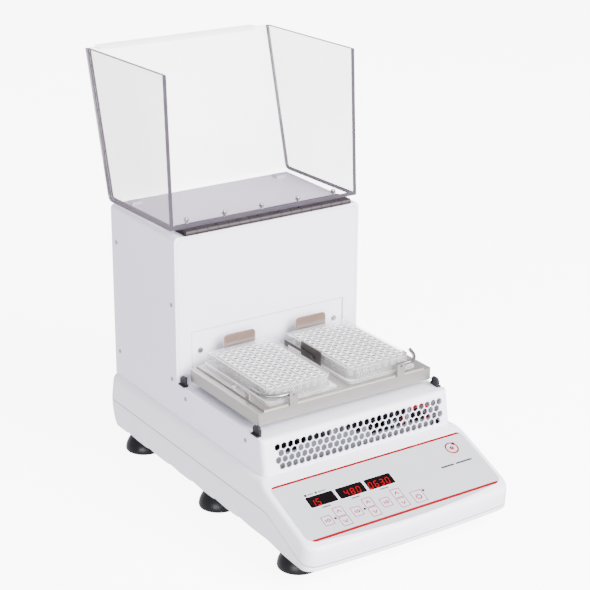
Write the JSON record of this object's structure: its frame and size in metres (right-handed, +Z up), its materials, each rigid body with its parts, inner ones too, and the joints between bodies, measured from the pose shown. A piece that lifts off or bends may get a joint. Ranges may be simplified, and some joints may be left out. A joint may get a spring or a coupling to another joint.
{
  "type": "orbital shaker",
  "caption": "Benchtop incubating orbital shaker for microplates: sloping console, sheet-metal cabinet with a tower, hinged clear lid, and a belt-driven orbiting tray with plate clips.",
  "frame": {"origin": "centre of the overall bounding box, lid open, at the level of the feet's undersides", "axes": "+Z up, +X to the right of a user facing the console, +Y to the rear; the console faces -Y"},
  "size_m": [0.2554, 0.4686, 0.4565],
  "materials": {
    "base_plastic_lower": "fine texture",
    "base_plastic_upper": "satin",
    "sheet_zinc": "satin",
    "black_rubber": "semi-gloss",
    "screw_steel": "polished",
    "overlay_silver": "satin film",
    "display_tint": "gloss",
    "circuit_board": "gloss",
    "white_paint": "powder coat",
    "hinge_steel": "brushed",
    "clear_lid": "clear, polished",
    "black_plastic": "matte",
    "white_ceramic": "matte",
    "bare_aluminium": "machined",
    "motor_steel": "satin",
    "belt_rubber": "matte",
    "brushed_tray": "brushed",
    "spring_steel": "polished",
    "clear_polystyrene": "clear",
    "wire_red": "semi-gloss",
    "key_film": "satin film"
  },
  "bodies": {
    "base": {"lower_shell": "base_plastic_lower", "upper_shell": "base_plastic_upper", "chassis_plate": "sheet_zinc", "feet": "black_rubber", "base_screws": "screw_steel", "power_supply": "sheet_zinc", "control_overlay": "overlay_silver", "display_modules": "display_tint", "control_board": "circuit_board", "cabinet_wrap": "white_paint", "front_housing": "white_paint", "chamber_floor": "white_paint", "lid_bumpers": "black_rubber", "tower_front": "white_paint", "duct_plate": "white_paint", "tower_back": "white_paint", "cabinet_screws": "screw_steel", "hinge_base_leaf": "hinge_steel", "hinge_pin": "hinge_steel", "circulation_fan": "black_plastic", "heat_pump": "white_ceramic", "heat_sinks": "bare_aluminium", "exhaust_fan": "black_plastic", "motor": "motor_steel", "drive_belt": "belt_rubber", "bearing_pillars": "bare_aluminium", "power_inlet": "black_plastic", "wiring": "wire_red"},
    "lid": {"lid_sheet": "clear_lid", "lid_side_left": "clear_lid", "lid_side_right": "clear_lid", "hinge_lid_leaf": "hinge_steel", "lid_screws": "screw_steel"},
    "circulation_rotor_body": {"circulation_rotor": "black_plastic"},
    "exhaust_rotor_body": {"exhaust_rotor": "black_plastic"},
    "crank": {"crank_shaft": "motor_steel", "counterweight": "motor_steel"},
    "idler_l": {"idler_left": "motor_steel"},
    "idler_r": {"idler_right": "motor_steel"},
    "motor_rotor": {"motor_pulley": "bare_aluminium"},
    "carriage": {"carriage": "bare_aluminium", "tray": "brushed_tray", "holder_plate": "brushed_tray", "tray_screws": "screw_steel", "microplate_left": "clear_polystyrene", "microplate_right": "clear_polystyrene"},
    "clip_l": {"clip_spring_left": "spring_steel"},
    "clip_r": {"clip_spring_right": "spring_steel"},
    "gap_spring_body": {"gap_spring": "spring_steel"},
    "rocker": {"power_switch": "black_plastic"},
    "key_temp_onoff_body": {"key_temp_onoff": "key_film"},
    "key_temp_up_body": {"key_temp_up": "key_film"},
    "key_temp_down_body": {"key_temp_down": "key_film"},
    "key_speed_onoff_body": {"key_speed_onoff": "key_film"},
    "key_speed_up_body": {"key_speed_up": "key_film"},
    "key_speed_down_body": {"key_speed_down": "key_film"},
    "key_time_onoff_body": {"key_time_onoff": "key_film"},
    "key_time_up_body": {"key_time_up": "key_film"},
    "key_time_down_body": {"key_time_down": "key_film"},
    "key_power_body": {"key_power": "key_film"}
  },
  "joints": [
    {"name": "lid_hinge", "type": "hinge", "parent": "base", "child": "lid", "pos_m": [0, 0.03624, 0.2908], "axis": [1, 0, 0], "range_deg": [0, 181.3]},
    {"name": "key_temp_onoff_press", "type": "slide", "parent": "base", "child": "key_temp_onoff_body", "axis": [0, 0.3689, -0.9295], "range_m": [0, 0.0004], "stiffness_N_per_m": 2500},
    {"name": "key_temp_up_press", "type": "slide", "parent": "base", "child": "key_temp_up_body", "axis": [0, 0.3689, -0.9295], "range_m": [0, 0.0004], "stiffness_N_per_m": 2500},
    {"name": "key_temp_down_press", "type": "slide", "parent": "base", "child": "key_temp_down_body", "axis": [0, 0.3689, -0.9295], "range_m": [0, 0.0004], "stiffness_N_per_m": 2500},
    {"name": "key_speed_onoff_press", "type": "slide", "parent": "base", "child": "key_speed_onoff_body", "axis": [0, 0.3689, -0.9295], "range_m": [0, 0.0004], "stiffness_N_per_m": 2500},
    {"name": "key_speed_up_press", "type": "slide", "parent": "base", "child": "key_speed_up_body", "axis": [0, 0.3689, -0.9295], "range_m": [0, 0.0004], "stiffness_N_per_m": 2500},
    {"name": "key_speed_down_press", "type": "slide", "parent": "base", "child": "key_speed_down_body", "axis": [0, 0.3689, -0.9295], "range_m": [0, 0.0004], "stiffness_N_per_m": 2500},
    {"name": "key_time_onoff_press", "type": "slide", "parent": "base", "child": "key_time_onoff_body", "axis": [0, 0.3689, -0.9295], "range_m": [0, 0.0004], "stiffness_N_per_m": 2500},
    {"name": "key_time_up_press", "type": "slide", "parent": "base", "child": "key_time_up_body", "axis": [0, 0.3689, -0.9295], "range_m": [0, 0.0004], "stiffness_N_per_m": 2500},
    {"name": "key_time_down_press", "type": "slide", "parent": "base", "child": "key_time_down_body", "axis": [0, 0.3689, -0.9295], "range_m": [0, 0.0004], "stiffness_N_per_m": 2500},
    {"name": "key_power_press", "type": "slide", "parent": "base", "child": "key_power_body", "axis": [0, 0.3689, -0.9295], "range_m": [0, 0.0004], "stiffness_N_per_m": 2500},
    {"name": "circulation_spin", "type": "hinge", "parent": "base", "child": "circulation_rotor_body", "pos_m": [0, 0.05024, 0.152], "axis": [0, -1, 0], "continuous": true},
    {"name": "exhaust_spin", "type": "hinge", "parent": "base", "child": "exhaust_rotor_body", "pos_m": [0, 0.16294, 0.222], "axis": [0, 1, 0], "continuous": true},
    {"name": "crank_spin", "type": "hinge", "parent": "base", "child": "crank", "pos_m": [0, -0.08226, 0.09], "axis": [0, 0, 1], "continuous": true},
    {"name": "carriage_orbit", "type": "hinge", "parent": "crank", "child": "carriage", "pos_m": [0.0015, -0.08226, 0.137], "axis": [0, 0, 1], "continuous": true},
    {"name": "idler_left_spin", "type": "hinge", "parent": "base", "child": "idler_l", "pos_m": [-0.07, -0.00626, 0.09], "axis": [0, 0, 1], "continuous": true},
    {"name": "idler_right_spin", "type": "hinge", "parent": "base", "child": "idler_r", "pos_m": [0.07, -0.00626, 0.09], "axis": [0, 0, 1], "continuous": true},
    {"name": "motor_spin", "type": "hinge", "parent": "base", "child": "motor_rotor", "pos_m": [0.076, -0.09026, 0.075], "axis": [0, 0, 1], "continuous": true},
    {"name": "clip_left_flex", "type": "hinge", "parent": "carriage", "child": "clip_l", "pos_m": [-0.0666, -0.10786, 0.155], "axis": [0, 0, 1], "range_deg": [0, 8], "stiffness_Nm_per_rad": 0.5},
    {"name": "clip_right_flex", "type": "hinge", "parent": "carriage", "child": "clip_r", "pos_m": [0.0693, -0.10786, 0.155], "axis": [0, 0, 1], "range_deg": [-8, 0], "stiffness_Nm_per_rad": 0.5},
    {"name": "gap_spring_flex", "type": "hinge", "parent": "carriage", "child": "gap_spring_body", "pos_m": [0.0029, 0.00724, 0.15], "axis": [0, 0, 1], "range_deg": [-5, 0], "stiffness_Nm_per_rad": 0.3},
    {"name": "power_rocker", "type": "hinge", "parent": "base", "child": "rocker", "pos_m": [-0.0393, 0.17474, 0.114], "axis": [1, 0, 0], "range_deg": [-16, 0]}
  ],
  "couplings": [
    {"joint": "carriage_orbit", "follows": "crank_spin", "ratio": -1},
    {"joint": "idler_left_spin", "follows": "crank_spin", "ratio": 1},
    {"joint": "idler_right_spin", "follows": "crank_spin", "ratio": 1},
    {"joint": "motor_spin", "follows": "crank_spin", "ratio": 3.328}
  ]
}
